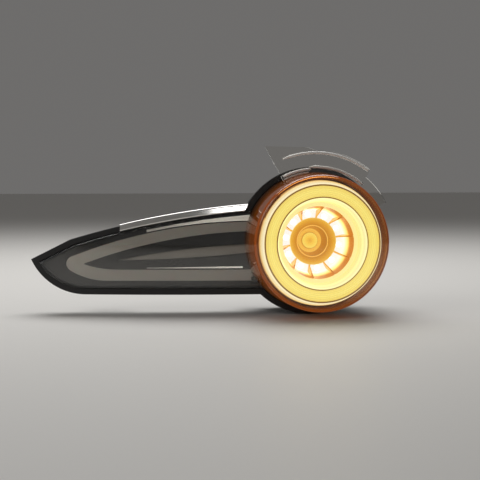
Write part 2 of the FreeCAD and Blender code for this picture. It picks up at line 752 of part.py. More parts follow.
frame_opening = prism("frame_opening", grown("frame_opening_line", guide_line, "fit_gap"))
frame_block = cut("frame_block", wing_inner, root_zone, frame_opening)
frame_core_line = grown("frame_core_line", wing_outline, f"-({INNER_INSET} + bezel_skin)")
frame_core_gap = grown("frame_core_gap", guide_line, "fit_gap + bezel_skin")
frame_core = cut("frame_core", prism("frame_core_block", frame_core_line),
                 prism("frame_core_opening", frame_core_gap))
frame_slab = layer("frame_slab", frame_block, "bezel_setback", GUIDE_BACK)
frame_relief = layer("frame_relief", frame_core, "bezel_setback + bezel_skin", f"{GUIDE_BACK} + overlap")
node("bezel_frame", cut("frame", frame_slab, frame_relief))

insert_outer = prism("insert_outer", grown("insert_line", gap_line, "-fit_gap"))
insert_slot = prism("insert_slot", grown("insert_slot_line", blade_line, "fit_gap"))
insert_block = cut("insert_block", insert_outer, root_zone, insert_slot)
insert_core_line = grown("insert_core_line", gap_line, "-(fit_gap + bezel_skin)")
insert_core_gap = grown("insert_core_gap", blade_line, "fit_gap + bezel_skin")
insert_core = cut("insert_core", prism("insert_core_outer", insert_core_line),
                  prism("insert_core_slot", insert_core_gap))
insert_slab = layer("insert_slab", insert_block, "bezel_setback", GUIDE_BACK)
insert_relief = layer("insert_relief", insert_core, "bezel_setback + bezel_skin", f"{GUIDE_BACK} + overlap")
node("bezel_insert", cut("insert", insert_slab, insert_relief))

# Bright trim: garnish on the upper rim, band on the frame, fine line on the insert

trim_zone = box("trim_zone", "-garnish_start", "0", "-wing_front", "2 * wing_front",
                "-tip_drop / 2", "2 * housing_radius")
trim_end = cylinder("trim_end", "housing_radius + fit_gap", "-wing_front", "2 * wing_front")
over_rim = prism("over_rim", grown("over_rim_line", wing_outline, "garnish_overhang"))
under_garnish = grown("under_garnish", wing_outline, "-(lens_inset - 2 * fit_gap)")
garnish_face = cut("garnish_face", over_rim, prism("garnish_inner", under_garnish))
garnish_lip = cut("garnish_lip", over_rim, prism("garnish_wing", wing_outline))
garnish = fuse("garnish_block",
               layer("garnish_front", garnish_face, "rim_setback - garnish_thickness", "rim_setback"),
               layer("garnish_back", garnish_lip, "rim_setback - overlap", "rim_setback + rim_thickness"))
garnish_blank = cut("garnish_blank", common("garnish_zone", garnish, trim_zone), trim_end)
GARNISH_SWEEP = number("sweep_radius - (rim_setback - garnish_thickness)")
SWEEP_CENTRE = Vector(0, number("sweep_radius - wing_front"), 0)


def along_garnish(edge):
    """True for the long front edges of the garnish."""
    middle = edge.valueAt((edge.FirstParameter + edge.LastParameter) / 2) - SWEEP_CENTRE
    on_front = abs(math.hypot(middle.x, middle.y) - GARNISH_SWEEP) < number("fit_gap") / 10
    return on_front and edge.Length > number("garnish_start") / 4


node("top_garnish", rounded("garnish", garnish_blank, "garnish_round", along_garnish))

band_zone = box("band_zone", "-accent_start", "0", "-wing_front", "2 * wing_front", "0", "2 * housing_radius")
band_outer = prism("band_outer", grown("band_outer_line", wing_outline, f"-({INNER_INSET} + fit_gap)"))
band_inner = prism("band_inner", grown("band_inner_line", guide_line, "accent_margin"))
band_block = cut("band_block", band_outer, band_inner, root_zone)
band_part = common("band_part", band_block, band_zone)
node("frame_accent", layer("band", band_part, "bezel_setback - accent_thickness", "bezel_setback"))
LINE_DROP = f"({GAP_DROP} - fit_gap - accent_margin)"
LINE_END = f"({GUIDE_END} + accent_end_margin)"
line_outline = front_sketch("line_outline", [
    (f"-{LINE_END}", f"-({LINE_DROP} - accent_line)"),
    ("-accent_start", f"-({LINE_DROP} - accent_tip)"),
    ("-accent_start", f"-{LINE_DROP}"),
    (f"-{LINE_END}", f"-{LINE_DROP}"),
])
node("insert_accent", layer("accent_line_strip", prism("accent_line_block", line_outline),
                            "bezel_setback - accent_thickness", "bezel_setback"))

# Round unit: sleeve with shelf, trough, ring guide with two feed legs, ring lens

carrier = turned("carrier", [
    (FOOT_INNER, SINK_TOP),
    (CARRIER, SINK_TOP),
    (CARRIER, CARRIER_TOP),
    (f"{CARRIER} - carrier_wall", CARRIER_TOP),
    (f"{CARRIER} - carrier_wall", SHELF_TOP),
    (SHELF_INNER, SHELF_TOP),
    (SHELF_INNER, f"{SHELF_TOP} - carrier_wall"),
    (f"{CARRIER} - carrier_wall", f"{SHELF_TOP} - carrier_wall"),
    (f"{CARRIER} - carrier_wall", f"{SINK_TOP} + carrier_wall"),
    (FOOT_INNER, f"{SINK_TOP} + carrier_wall"),
])
trough = turned("trough", [
    (TROUGH_INNER, SHELF_TOP),
    (TROUGH_OUTER, SHELF_TOP),
    (TROUGH_OUTER, CARRIER_TOP),
    (f"{TROUGH_OUTER} - trough_skin", CARRIER_TOP),
    (f"{TROUGH_OUTER} - trough_skin", f"{SHELF_TOP} + trough_skin"),
    (f"{TROUGH_INNER} + trough_skin", f"{SHELF_TOP} + trough_skin"),
    (f"{TROUGH_INNER} + trough_skin", f"{CARRIER_TOP} - trough_drop"),
    (TROUGH_INNER, f"{CARRIER_TOP} - trough_drop"),
])
ring_guide = add("Part::Torus", "ring_guide")
ring_guide.Placement.Rotation = FACING_FRONT
RING_LEVEL = f"({SHELF_TOP} + trough_skin + ring_guide_radius)"
bind(ring_guide, Radius1=RING_GUIDE, Radius2="ring_guide_radius", y=f"-{RING_LEVEL}")
legs = []
leg_holes = []
feed_leds = []
for index, degrees in enumerate(FEED_ANGLES):
    x, z = polar(FEED_CIRCLE, degrees)
    led_top = f"{BOARD_TOP} + led_height"
    legs.append(cylinder(f"leg_{index}", "feed_leg_radius", f"{led_top} + fit_gap", RING_LEVEL, x, z))
    leg_holes.append(cylinder(f"leg_hole_{index}", "feed_leg_radius + fit_gap",
                              f"{SHELF_TOP} - 2 * carrier_wall", f"{SHELF_TOP} + 2 * trough_skin", x, z))
    feed_leds.append(box(f"feed_led_{index}", f"{x} - led_side / 2", f"{x} + led_side / 2",
                         BOARD_TOP, led_top, f"{z} - led_side / 2", f"{z} + led_side / 2"))
leg_passage = group("leg_passage", leg_holes)
node("optic_carrier", cut("carrier_drilled", carrier, leg_passage))
node("ring_reflector", cut("trough_drilled", trough, leg_passage))
node("ring_light_guide", fuse("ring_guide_legs", ring_guide, *legs))

# Face of the ring lens, from its outer edge inwards: a line at each edge and fine grooves between them
GROOVED_OUTER = f"({RING_OUTER} - ring_edge - ring_line_width)"
GROOVED_INNER = f"({RING_INNER} + ring_edge + ring_line_width)"
LINE_FLOOR = f"({RING_FACE} - ring_line_depth)"
ring_face = [
    (RING_OUTER, RING_FACE),
    (f"{RING_OUTER} - ring_edge", RING_FACE),
    (f"{RING_OUTER} - ring_edge", LINE_FLOOR),
    (GROOVED_OUTER, LINE_FLOOR),
    (GROOVED_OUTER, RING_FACE),
]
for index in range(GROOVE_COUNT):
    for share, depth in ((0.5, "ring_groove_depth"), (1, "0")):
        share_of_face = (index + share) / GROOVE_COUNT
        ring_face.append((f"{GROOVED_OUTER} - {share_of_face:.6f} * ({GROOVED_OUTER} - {GROOVED_INNER})",
                          f"{RING_FACE} - {depth}"))
ring_face += [
    (GROOVED_INNER, LINE_FLOOR),
    (f"{RING_INNER} + ring_edge", LINE_FLOOR),
    (f"{RING_INNER} + ring_edge", RING_FACE),
    (RING_INNER, RING_FACE),
]
ring_lens = turned("ring_lens", [(RING_FOOT, CARRIER_TOP)] + ring_face + [
    (SKIRT_FOOT, RIM_TOP),
    (f"{SKIRT_FOOT} + ring_skin", RIM_TOP),
    (f"{RING_INNER} + ring_skin", f"{RING_FACE} - ring_skin"),
    (f"{RING_OUTER} - ring_skin", f"{RING_FACE} - ring_skin"),
    (f"{RING_FOOT} - ring_skin", CARRIER_TOP),
])
node("ring_lens", ring_lens)

# Bowl of ten cells: cone, floor with a window per light source, thin ribs between the cells

cell_bowl = turned("cell_bowl", [
    (f"{SKIRT_FOOT} + ring_skin", SHELF_TOP),
    (f"{SKIRT_FOOT} + ring_skin", RIM_TOP),
    (BOWL, RIM_TOP),
    (BOWL_FLOOR, FLOOR_TOP),
    (f"{HUB} - cell_skin", FLOOR_TOP),
    (f"{HUB} - cell_skin", BOARD_TOP),
    (HUB, BOARD_TOP),
    (HUB, FLOOR_BACK),
    (f"{BOWL_FLOOR} + cell_skin", FLOOR_BACK),
    (f"{BOWL} + cell_skin", SHELF_TOP),
])
rib_line = body_sketch(cell_bowl, "XY_Plane", "cell_rib_line", [
    (f"{HUB} + cell_rib_gap", f"-({FLOOR_TOP} - cell_skin / 2)"),
    (f"{BOWL_FLOOR} + cell_skin / 2", f"-({FLOOR_TOP} - cell_skin / 2)"),
    (f"{BOWL} + cell_skin / 2", f"-({RIM_TOP} - cell_skin / 2)"),
    (f"{BOWL} - cell_rib_crest", f"-({RIM_TOP} - cell_skin / 2)"),
])
rib_pad = cell_bowl.newObject("PartDesign::Pad", "cell_rib_pad")
rib_pad.Profile = rib_line
rib_pad.Midplane = True
bind(rib_pad, Length="cell_rib")
body_y = next(item for item in cell_bowl.Origin.OriginFeatures if item.Role == "Y_Axis")
rib_ring = cell_bowl.newObject("PartDesign::PolarPattern", "cell_rib_ring")
rib_ring.Originals = [rib_pad]
rib_ring.Axis = (body_y, [""])
rib_ring.Angle = 360
rib_ring.Occurrences = CELL_COUNT
cell_bowl.Tip = rib_ring
windows = []
cell_leds = []
for index in range(CELL_COUNT):
    x, z = polar(LED_CIRCLE, 360 * (index + 0.5) / CELL_COUNT)
    windows.append(cylinder(f"window_{index}", "led_window", f"{FLOOR_BACK} - overlap",
                            f"{FLOOR_TOP} + overlap", x, z))
    cell_leds.append(cylinder(f"cell_led_{index}", "led_side / 2", BOARD_TOP,
                              f"{BOARD_TOP} + led_height", x, z))
cells_open = cut("cells_open", cell_bowl, group("window_ring", windows))
led_ring = group("led_ring", cell_leds)
for item in (cells_open, led_ring):
    item.Placement.Rotation = FreeCAD.Rotation(Vector(0, -1, 0), number("cell_angle"))
    item.setExpression("Placement.Rotation.Angle", cells("cell_angle"))
node("cell_reflector", cells_open)
node("turn_leds", group("leds", [led_ring] + feed_leds))

THROAT = f"({HUB} - cone_throat)"
CORE = f"({HUB} - cone_core)"
BUTTON = f"({HUB} - cone_button)"
DISH = f"({FLOOR_TOP} - cone_dish)"
PIT = f"({FLOOR_TOP} - cone_depth)"
cone = turned("cone", [
    (HUB, FLOOR_TOP),
    (HUB, f"{FLOOR_TOP} + cone_edge"),
    (f"{THROAT} + cone_lip_width", DISH),
    (f"{THROAT} + cone_lip_width", f"{DISH} + cone_lip"),
    (THROAT, f"{DISH} + cone_lip"),
    (CORE, PIT),
    (BUTTON, PIT),
    (BUTTON, f"{PIT} + button_height"),
    ("0", f"{PIT} + button_height"),
    ("0", f"{PIT} - cone_skin"),
    (f"{CORE} + cone_skin", f"{PIT} - cone_skin"),
    (f"{THROAT} + cone_skin", f"{DISH} - cone_skin"),
    (f"{HUB} - cell_skin - fit_gap", f"{FLOOR_TOP} - cone_seat"),
    (f"{HUB} - cell_skin - fit_gap", FLOOR_TOP),
])
node("centre_cone", cone)

# Boards, heat sink with fins and a pad for the small board, screws

sink_plate = turned("sink_plate", [
    (SINK_BORE, SINK_BACK),
    (SINK_RADIUS, SINK_BACK),
    (SINK_RADIUS, SINK_TOP),
    (SINK_BORE, SINK_TOP),
])
fins = []
for index in range(FIN_COUNT):
    middle = f"{index - (FIN_COUNT - 1) / 2} * fin_pitch"
    fins.append(box(f"fin_{index}", f"{middle} - fin_thickness / 2", f"{middle} + fin_thickness / 2",
                    f"{SINK_BACK} - fin_length", f"{SINK_BACK} + overlap",
                    "-housing_radius", "housing_radius"))
fin_round = cylinder("fin_round", FIN_RADIUS, "0", "wing_front")
fin_bore = cylinder("fin_bore", SINK_BORE, f"{PIT} - cone_skin - cone_clearance", "wing_front")
fin_block = cut("fin_block", common("fin_set", group("fin_row", fins), fin_round), fin_bore)
sink_pad = box("sink_pad", f"-{GUIDE_BOARD_BACK}", f"-({GUIDE_BOARD_BACK} - pad_depth)",
               f"{GUIDE_MID} - pad_tail", SINK_TOP,
               f"-({GUIDE_DROP} - pad_margin)", f"{GUIDE_RISE} - pad_margin")
sink_holes = []
screws = []
for index, degrees in enumerate(PILLAR_ANGLES):
    x, z = polar(PILLAR_CIRCLE, degrees)
    sink_holes.append(cylinder(f"sink_hole_{index}", "screw_radius + fit_gap", "0", "wing_front", x, z))
    shank = cylinder(f"screw_shank_{index}", "screw_radius", f"{BOARD_TOP} - screw_length",
                     f"{BOARD_TOP} + overlap", x, z)
    head = cylinder(f"screw_head_{index}", "screw_head_radius", BOARD_TOP,
                    f"{BOARD_TOP} + screw_head_height", x, z)
    screws.append(fuse(f"screw_{index}", shank, head))
hole_set = group("sink_hole_set", sink_holes)
node("heat_sink", cut("sink", fuse("sink_solid", sink_plate, fin_block, sink_pad), hole_set))
board_disc = cylinder("board_disc", BOARD_RADIUS, SINK_TOP, BOARD_TOP)
board_bore = cylinder("board_bore", SINK_BORE, "0", "2 * wing_front")
node("turn_board", cut("board", board_disc, board_bore, hole_set))
node("optic_screws", group("screws", screws))

node("guide_board", box("guide_board", f"-{GUIDE_BOARD_FACE}", f"-{GUIDE_BOARD_BACK}",
                        f"{GUIDE_MID} - guide_board_tail", f"{GUIDE_MID} + guide_board_nose",
                        f"-({GUIDE_DROP} - guide_board_margin)", f"{GUIDE_RISE} - guide_board_margin"))
guide_leds = []
ARM_LEVELS = {
    "upper": f"({GUIDE_RISE} - arm_width / 2)",
    "blade": f"({BLADE_TOP} - blade_height / 2)",
    "lower": f"(-{GUIDE_DROP} + arm_width / 2)",
}
for arm, level in ARM_LEVELS.items():
    guide_leds.append(box(f"guide_led_{arm}", f"-{LED_FACE}", f"-{GUIDE_BOARD_FACE}",
                          f"{GUIDE_MID} - led_side / 2", f"{GUIDE_MID} + led_side / 2",
                          f"{level} - led_side / 2", f"{level} + led_side / 2"))
node("guide_leds", group("guide_led_row", guide_leds))

# Driver board and its parts, socket with pins

DRIVER_TOP = "(driver_setback + board_thickness)"
driver = box("driver", "-driver_width / 2", "driver_width / 2", "driver_setback", DRIVER_TOP,
             "-driver_height / 2", "driver_height / 2")
node("driver_board", driver)
coil = cylinder("coil", "coil_radius", DRIVER_TOP, f"{DRIVER_TOP} + coil_height", "-coil_offset", "coil_lift")
capacitor = cylinder("capacitor", "capacitor_radius", DRIVER_TOP, f"{DRIVER_TOP} + capacitor_height",
                     "coil_offset", "coil_lift")
regulator = box("regulator", "-regulator_width / 2", "regulator_width / 2",
                DRIVER_TOP, f"{DRIVER_TOP} + regulator_thickness",
                "-regulator_drop - regulator_depth / 2", "-regulator_drop + regulator_depth / 2")
node("driver_parts", group("driver_set", [coil, capacitor, regulator]))

SOCKET_BACK = "(rear_setback - socket_length)"
socket_body = box("socket_body", "-socket_width / 2", "socket_width / 2",
                  SOCKET_BACK, f"{REAR_INSIDE} + overlap", "-socket_height / 2", "socket_height / 2")
FLANGE_X = "(socket_width / 2 + socket_flange_width)"
FLANGE_Z = "(socket_height / 2 + socket_flange_width)"
socket_flange = box("socket_flange", f"-{FLANGE_X}", FLANGE_X, REAR_INSIDE, f"{REAR_INSIDE} + socket_flange",
                    f"-{FLANGE_Z}", FLANGE_Z)
HOLLOW_X = "(socket_width / 2 - socket_wall)"
HOLLOW_Z = "(socket_height / 2 - socket_wall)"
SOCKET_FLOOR = f"({REAR_INSIDE} - socket_floor)"
socket_hollow = box("socket_hollow", f"-{HOLLOW_X}", HOLLOW_X, f"{SOCKET_BACK} - overlap", SOCKET_FLOOR,
                    f"-{HOLLOW_Z}", HOLLOW_Z)
pins = []
pin_slots = []
for index in range(PIN_COUNT):
    middle = f"{index - (PIN_COUNT - 1) / 2} * pin_pitch"
    sides = (f"{middle} - pin_width / 2", f"{middle} + pin_width / 2")
    flat = ("-pin_thickness / 2", "pin_thickness / 2")
    pins.append(box(f"pin_{index}", *sides, f"{SOCKET_FLOOR} - pin_reach", "driver_setback", *flat))
    pin_slots.append(box(f"pin_slot_{index}", *sides, f"{SOCKET_FLOOR} - overlap",
                         f"{REAR_INSIDE} + socket_flange + overlap", *flat))
slot_row = group("pin_slot_row", pin_slots)
socket = cut("socket", fuse("socket_solid", socket_body, socket_flange), socket_hollow, slot_row)
node("connector_socket", socket)
node("connector_pins", group("pin_row", pins))

# Studs held by a collar in the boss and a head inside the bucket, vent cap, foam ring

studs = []
for index, degrees in enumerate(STUD_ANGLES):
    x, z = polar(STUD_CIRCLE, degrees)
    shank = cylinder(f"stud_shank_{index}", "stud_radius", "-stud_length", "overlap", x, z)
    collar = cylinder(f"stud_collar_{index}", "stud_collar_radius", "0", "stud_boss_height + overlap", x, z)
    head = add("Part::Prism", f"stud_head_{index}")
    head.Polygon = 6
    head.Placement.Rotation = FACING_FRONT
    bind(head, Circumradius="stud_head_width / 2 / cos(30)", Height="stud_head_height")
    bind(head, x=x, y="-stud_boss_height", z=z)
    studs.append(fuse(f"stud_{index}", shank, collar, head))
node("mounting_studs", group("studs", studs))

cap_outer = cylinder("cap_outer", "vent_radius + vent_skin", f"{VENT_END} - vent_skin",
                     "rear_setback - vent_cap_gap", vent_x, vent_z)
cap_inner = cylinder("cap_inner", "vent_radius", VENT_END, "rear_setback", vent_x, vent_z)
node("vent_cap", cut("cap", cap_outer, cap_inner))
foam_outer = cylinder("foam_outer", GASKET_OUTER, "0", "rear_setback")
foam_inner = cylinder("foam_inner", f"{GASKET_OUTER} - gasket_width", "-overlap", "rear_setback + overlap")
foam = cut("foam", foam_outer, foam_inner)
node("body_gasket", foam)

doc.recompute()
failed = [item.Name for item in doc.Objects if "Invalid" in item.State or "Error" in item.State]
if failed:
    raise RuntimeError("did not build: " + ", ".join(failed))
os.makedirs("parts", exist_ok=True)
for item in nodes:
    if item.Shape.isNull() or not item.Shape.isValid():
        raise RuntimeError(f"{item.Label} has no sound shape")
    item.Shape.exportStep(f"parts/{item.Label}.step")
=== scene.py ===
import math

import bmesh
import bpy
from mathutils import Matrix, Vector


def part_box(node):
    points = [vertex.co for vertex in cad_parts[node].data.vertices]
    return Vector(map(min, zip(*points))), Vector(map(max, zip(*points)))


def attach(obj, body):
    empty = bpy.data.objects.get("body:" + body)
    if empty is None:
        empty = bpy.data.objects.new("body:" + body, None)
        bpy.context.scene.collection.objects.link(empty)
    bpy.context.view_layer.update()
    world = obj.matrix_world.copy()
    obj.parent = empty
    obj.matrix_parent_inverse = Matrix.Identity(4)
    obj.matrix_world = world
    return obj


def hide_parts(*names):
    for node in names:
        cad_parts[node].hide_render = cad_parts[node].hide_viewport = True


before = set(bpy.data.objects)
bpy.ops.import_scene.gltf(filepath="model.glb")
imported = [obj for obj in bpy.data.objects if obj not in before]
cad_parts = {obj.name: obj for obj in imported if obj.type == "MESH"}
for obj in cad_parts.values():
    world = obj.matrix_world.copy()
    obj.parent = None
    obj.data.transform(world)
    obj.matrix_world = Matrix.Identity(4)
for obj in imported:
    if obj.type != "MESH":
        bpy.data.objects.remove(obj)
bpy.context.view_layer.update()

# Places in metres: the lamp faces -Y, and the axis of its round unit is the Y axis
MM = 0.001
FLOOR_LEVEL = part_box("rear_housing")[0][2]
RING_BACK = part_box("ring_lens")[1][1]
BARREL_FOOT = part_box("optic_carrier")[1][1]
RIM_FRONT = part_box("cell_reflector")[0][1]
CELL_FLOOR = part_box("turn_leds")[0][1]

# Painted glow of the lens barrel, a brown tint with an emission, by distance from the axis in mm: it
# begins, is full, thins out and is gone.
# Where it is full, its painted glow has this strength.
BARREL_GLOW_BEGINS = 50
BARREL_GLOW_FULL = 53
BARREL_GLOW_THINS = 56.2
BARREL_GLOW_GONE = 57
BARREL_GLOW_STRENGTH = 0.23

# Grooves in the face of the ring: start and half spacing in mm, share of light on a crest and in a root
GROOVE_BEGINS = 37.3
GROOVE_HALF = 0.75
GROOVE_CREST = 1.03
GROOVE_ROOT = 0.88

# Cells of the bowl: their number, the turn of the first wall, then where the painted shade on a wall is
# full and has faded, sideways in mm from its middle and forwards as a share of the bowl's depth
CELL_COUNT = 10
CELL_TURN = math.radians(10)
WALL_HALF = 0.5
WALL_FADED = 1.0
WALL_TOP = 0.55
WALL_GONE = 0.62

# Studs in mm and degrees: heads and collars by half their width, threads by radius. A flank would rise
# past the crest, which cuts it off.
STUD_ANGLES = (90, 210, 330)
STUD_CIRCLE = 42
STUD_SEGMENTS = 24
HEAD_HALF = 5.0
HEAD_HEIGHT = 4.0
HEAD_SIDE = math.radians(60)
COLLAR_HALF = 3.8
COLLAR_LENGTH = 12.0
THREAD_PITCH = 1.0
THREAD_LENGTH = 18.0
THREAD_STEPS = 8
THREAD_CREST = 3.0
THREAD_ROOT = 2.4
THREAD_TIP = 2.1
THREAD_FLANK = 0.8

# Ribs of the flange in mm and degrees: radius of the middle, half width, first and last angle, front
RIBS = (
    (72.5, 1.0, 53, 112, 72),
    (61.0, 1.0, 50, 95, 72),
    (59.4, 1.0, 94, 117, 72),
    (56.9, 0.5, 96, 117, 71),
)
RIB_LAP = 0.1
RIB_SEGMENTS = 48
RIB_FACETS = 8
# Height at the ends of a rib as a share of its full height, and how fast it rises from there
RIB_END = 0.35
RIB_RISE = 8
# Edges that turn by more than this stay sharp
SHARP_FROM = math.radians(25)

# Stage in metres and degrees
LAMP_MIDDLE = (-0.06, -0.05, 0.0)
BEHIND_LAMP = (-0.06, 0.3, 0.0)
TRIM_END = (-0.07, -0.05, 0.02)
FLOOR_SIZE = 10
SURROUND_LEVEL = 0.34
CAMERA_AT = (-0.2123, -0.9666, 0.0577)
CAMERA_AZIMUTH = math.radians(9.5)
CAMERA_ELEVATION = math.radians(3.5)
CAMERA_ANGLE = math.radians(24)

# Refractive indices of the plastics
ABS_IOR = 1.54
ACRYLIC_IOR = 1.49
POLYCARBONATE_IOR = 1.585

# Sockets of a Mix node that mixes colours
FIRST_COLOUR = 6
SECOND_COLOUR = 7
MIXED_COLOUR = 2

# Grain that all skins share: layers of noise, share of the bump, how far the roughness strays
GRAIN_DETAIL = 3.0
GRAIN_STRENGTH = 0.5
GRAIN_SPREAD = 0.05


def tint(code):
    """A linear colour from an sRGB hex code."""
    parts = [int(code[place:place + 2], 16) / 255 for place in (1, 3, 5)]
    linear = [part / 12.92 if part <= 0.04045 else ((part + 0.055) / 1.055) ** 2.4 for part in parts]
    return (*linear, 1.0)


def put(tree, kind, feeds=None, **settings):
    """Adds a shader node with its settings; feeds gives each input a value or another node's output."""
    made = tree.nodes.new("ShaderNode" + kind)
    for name, value in settings.items():
        setattr(made, name, value)
    for name, value in (feeds or {}).items():
        if isinstance(value, bpy.types.NodeSocket):
            tree.links.new(value, made.inputs[name])
        else:
            made.inputs[name].default_value = value
    return made


def start(name, **feeds):
    """A new material with one Principled shader; gives the material, its node tree and that shader."""
    material = bpy.data.materials.new(name)
    material.use_nodes = True
    tree = material.node_tree
    shader = tree.nodes["Principled BSDF"]
    for label, value in feeds.items():
        shader.inputs[label.replace("_", " ")].default_value = value
    return material, tree, shader


def dress(material, *nodes):
    """Gives a material to CAD nodes."""
    for name in nodes:
        item = bpy.data.objects[name]
        if not item.material_slots:
            item.data.materials.append(material)
        for slot in item.material_slots:
            slot.material = material


def bands(tree, value, unit, *stops):
    """A colour that changes with a value: each stop is a place, in units, and its hex colour."""
    low = stops[0][0]
    high = stops[-1][0]
    share = put(tree, "MapRange", {"Value": value, "From Min": low * unit, "From Max": high * unit})
    ramp = put(tree, "ValToRGB", {"Fac": share.outputs["Result"]})
    elements = ramp.color_ramp.elements
    while len(elements) < len(stops):
        elements.new(1.0)
    for element, (place, code) in zip(elements, stops):
        element.position = (place - low) / (high - low)
        element.color = tint(code)
    return ramp.outputs["Color"]


def axes_of(tree):
    """X, Y and Z on the lamp."""
    place = put(tree, "TexCoord")
    split = put(tree, "SeparateXYZ", {"Vector": place.outputs["Object"]})
    return split.outputs


def from_axis(tree, axes):
    """The distance from the axis of the round unit."""
    across = put(tree, "CombineXYZ", {"X": axes["X"], "Y": axes["Z"]})
    radius = put(tree, "VectorMath", {0: across.outputs["Vector"]}, operation="LENGTH")
    return radius.outputs["Value"]


def grain(tree, shader, size_mm, depth_mm, roughness):
    """The skin of a moulded or cast face: a fine relief and a little spread of roughness."""
    place = put(tree, "TexCoord")
    noise = put(tree, "TexNoise", {"Vector": place.outputs["Object"], "Scale": 1 / (size_mm * MM),
                                   "Detail": GRAIN_DETAIL})
    height = noise.outputs["Fac"]
    bump = put(tree, "Bump", {"Height": height, "Distance": depth_mm * MM, "Strength": GRAIN_STRENGTH})
    spread = put(tree, "MapRange", {"Value": height, "To Min": roughness - GRAIN_SPREAD,
                                    "To Max": roughness + GRAIN_SPREAD})
    tree.links.new(bump.outputs["Normal"], shader.inputs["Normal"])
    tree.links.new(spread.outputs["Result"], shader.inputs["Roughness"])


# Polycarbonate, clear and polished. Its barrel has a painted glow: a brown tint and an emission that stand
# in for stray light of the ring caught in it.
def clear_polycarbonate():
    material, tree, shader = start("polycarbonate_clear", Roughness=0.02, IOR=POLYCARBONATE_IOR,
                                   Transmission_Weight=1.0, Emission_Color=tint("#864810"))
    axes = axes_of(tree)
    radius = from_axis(tree, axes)
    wall = put(tree, "MapRange", {"Value": radius, "From Min": BARREL_GLOW_BEGINS * MM,
                                  "From Max": BARREL_GLOW_FULL * MM})
    near = put(tree, "MapRange", {"Value": radius, "From Min": BARREL_GLOW_GONE * MM,
                                  "From Max": BARREL_GLOW_THINS * MM})
    ahead = put(tree, "MapRange", {"Value": axes["Y"], "From Min": BARREL_FOOT, "From Max": RING_BACK})
    caught = put(tree, "Math", {0: wall.outputs["Result"], 1: ahead.outputs["Result"]},
                 operation="MULTIPLY")
    barrel_glow_mask = put(tree, "Math", {0: caught.outputs["Value"], 1: near.outputs["Result"]},
               operation="MULTIPLY")
    colour = put(tree, "Mix", {"Factor": barrel_glow_mask.outputs["Value"], FIRST_COLOUR: tint("#F4F2EE"),
                               SECOND_COLOUR: tint("#9C6632")}, data_type="RGBA")
    glow = put(tree, "MapRange", {"Value": barrel_glow_mask.outputs["Value"], "To Max": BARREL_GLOW_STRENGTH})
    tree.links.new(colour.outputs[MIXED_COLOUR], shader.inputs["Base Color"])
    tree.links.new(glow.outputs["Result"], shader.inputs["Emission Strength"])
    path = put(tree, "LightPath")
    passing = put(tree, "BsdfTransparent", {"Color": tint("#F2F0EC")})
    mixed = put(tree, "MixShader", {"Fac": path.outputs["Is Shadow Ray"], 1: shader.outputs["BSDF"],
                                    2: passing.outputs["BSDF"]})
    tree.links.new(mixed.outputs["Shader"], tree.nodes["Material Output"].inputs["Surface"])
    return material


# Polycarbonate, pale and nearly opaque with a fine matt skin, on the crowns of the ribs: a painted
# highlight, pale lines that stand in for the glints of the clear ribs.
def rib_highlight_polycarbonate():
    material, tree, shader = start("polycarbonate_pale_painted_highlight", Base_Color=tint("#F4F2EE"),
                                   IOR=POLYCARBONATE_IOR, Transmission_Weight=0.1)
    grain(tree, shader, size_mm=2.0, depth_mm=0.01, roughness=0.25)
    return material


# Polypropylene with talc, moulded with a fine grain: black, dull, a soft sheen at low angles.
def black_polypropylene():
    material, tree, shader = start("polypropylene_black", Base_Color=tint("#161515"), IOR=1.49)
    grain(tree, shader, size_mm=0.9, depth_mm=0.05, roughness=0.5)
    return material


# ABS from an etched mould: black and matt, with a fine grain that keeps reflections off the frame.
def matt_black_abs():
    material, tree, shader = start("abs_matt_black", Base_Color=tint("#0B0A0A"), IOR=ABS_IOR,
                                   Specular_IOR_Level=0.3)
    grain(tree, shader, size_mm=0.8, depth_mm=0.03, roughness=0.55)
    return material


# ABS from a polished mould: deep black that mirrors its surroundings, with a faint waviness.
def piano_black_abs():
    material, tree, shader = start("abs_piano_black", Base_Color=tint("#090808"), IOR=ABS_IOR)
    grain(tree, shader, size_mm=14.0, depth_mm=0.02, roughness=0.12)
    return material


# ABS with a bright metal film: a mirror where the mould was polished, a soft shine where it was blasted.
def metallised_abs(name, roughness):
    material, tree, shader = start(name, Base_Color=tint("#E6E4E1"), Metallic=1.0)
    grain(tree, shader, size_mm=6.0, depth_mm=0.01, roughness=roughness)
    return material


# Acrylic with a light-spreading filler, unlit: milky grey white with a gloss skin.
def milky_acrylic():
    material, tree, shader = start("acrylic_milky", Base_Color=tint("#BEBAB4"), IOR=ACRYLIC_IOR,
                                   Subsurface_Weight=0.3, Subsurface_Scale=2 * MM)
    grain(tree, shader, size_mm=3.0, depth_mm=0.02, roughness=0.22)
    return material


# Acrylic with less filler and a grey dye: the same gloss skin, a shade darker.
def grey_acrylic():
    material, tree, shader = start("acrylic_grey", Base_Color=tint("#A8A49E"), IOR=ACRYLIC_IOR)
    grain(tree, shader, size_mm=3.0, depth_mm=0.02, roughness=0.2)
    return material
